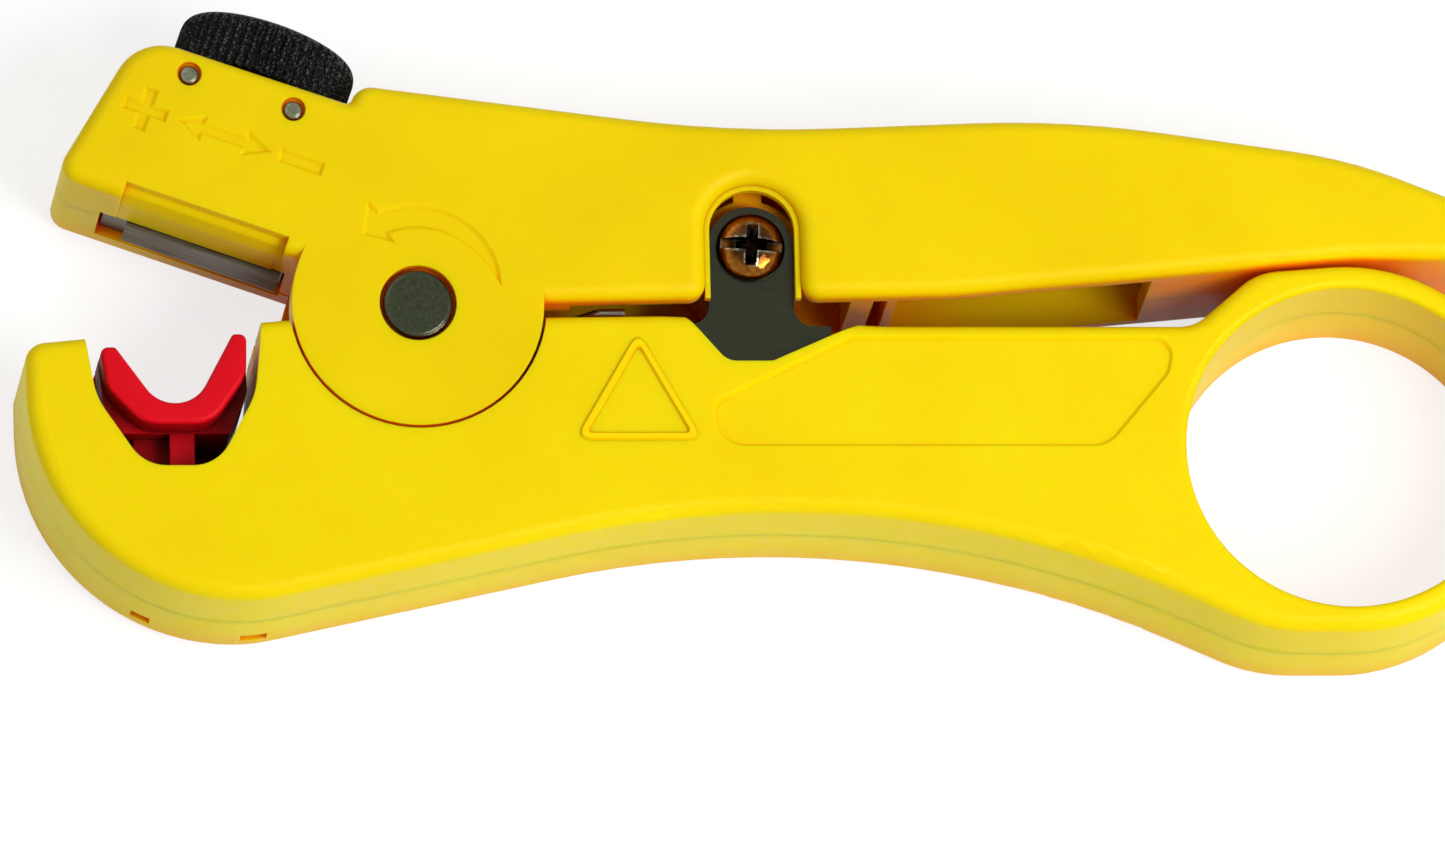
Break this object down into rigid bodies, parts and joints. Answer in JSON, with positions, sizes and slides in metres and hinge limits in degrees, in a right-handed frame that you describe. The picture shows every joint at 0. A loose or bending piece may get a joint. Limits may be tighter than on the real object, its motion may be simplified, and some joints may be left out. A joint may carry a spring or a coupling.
{
  "type": "cable stripping pliers",
  "caption": "Plastic-bodied cable stripping pliers with a hooked jaw, a red V rest, a blade set by a knurled knob, a side wire cutter and a finger ring.",
  "frame": {"origin": "centre of the finger ring, half way through its thickness", "axes": "+Z along the finger ring's bore and the pivot, out of the face with the cutter; +X along the handles, away from the jaws"},
  "size_m": [0.129, 0.056, 0.017],
  "materials": {
    "yellow_body": "fine spark grain on the faces, smoother on the sides",
    "red_plastic": "smooth moulded",
    "pin_steel": "ground, dark",
    "spring_steel": "drawn wire",
    "cutter_steel": "blued sheet",
    "bright_nickel": "nickel plate",
    "black_plastic": "moulded, fine specks",
    "blade_steel": "ground edge",
    "carriage_metal": "die cast"
  },
  "bodies": {
    "lower": {"lower_front_shell": "yellow_body", "lower_back_shell": "yellow_body", "v_cassette": "red_plastic", "pivot_pin": "pin_steel", "pivot_cap": "pin_steel", "torsion_spring": "spring_steel"},
    "upper": {"upper_front_shell": "yellow_body", "upper_back_shell": "yellow_body", "head_pin_left": "pin_steel", "head_pin_right": "pin_steel", "cutter_blade": "cutter_steel", "cutter_screw": "bright_nickel", "cutter_nut": "bright_nickel", "carriage_spring": "spring_steel"},
    "knob": {"depth_knob": "black_plastic", "adjuster_screw": "bright_nickel"},
    "carriage": {"blade_carriage": "carriage_metal", "strip_blade": "blade_steel", "blade_pin_left": "pin_steel", "blade_pin_right": "pin_steel"}
  },
  "joints": [
    {"name": "lever_pivot", "type": "hinge", "parent": "lower", "child": "upper", "pos_m": [-0.0794, 0.0126, 0], "axis": [0, 0, 1], "range_deg": [0, 25]},
    {"name": "knob_turn", "type": "hinge", "parent": "upper", "child": "knob", "pos_m": [-0.09246, 0.03288, 0], "axis": [0.3338, 0.9426, 0], "range_deg": [-360, 360]},
    {"name": "blade_depth", "type": "slide", "parent": "upper", "child": "carriage", "axis": [-0.3338, -0.9426, 0], "range_m": [-0.0007, 0.0007]}
  ],
  "couplings": [
    {"joint": "knob_turn", "follows": "blade_depth", "rad_per_m": 8976}
  ]
}
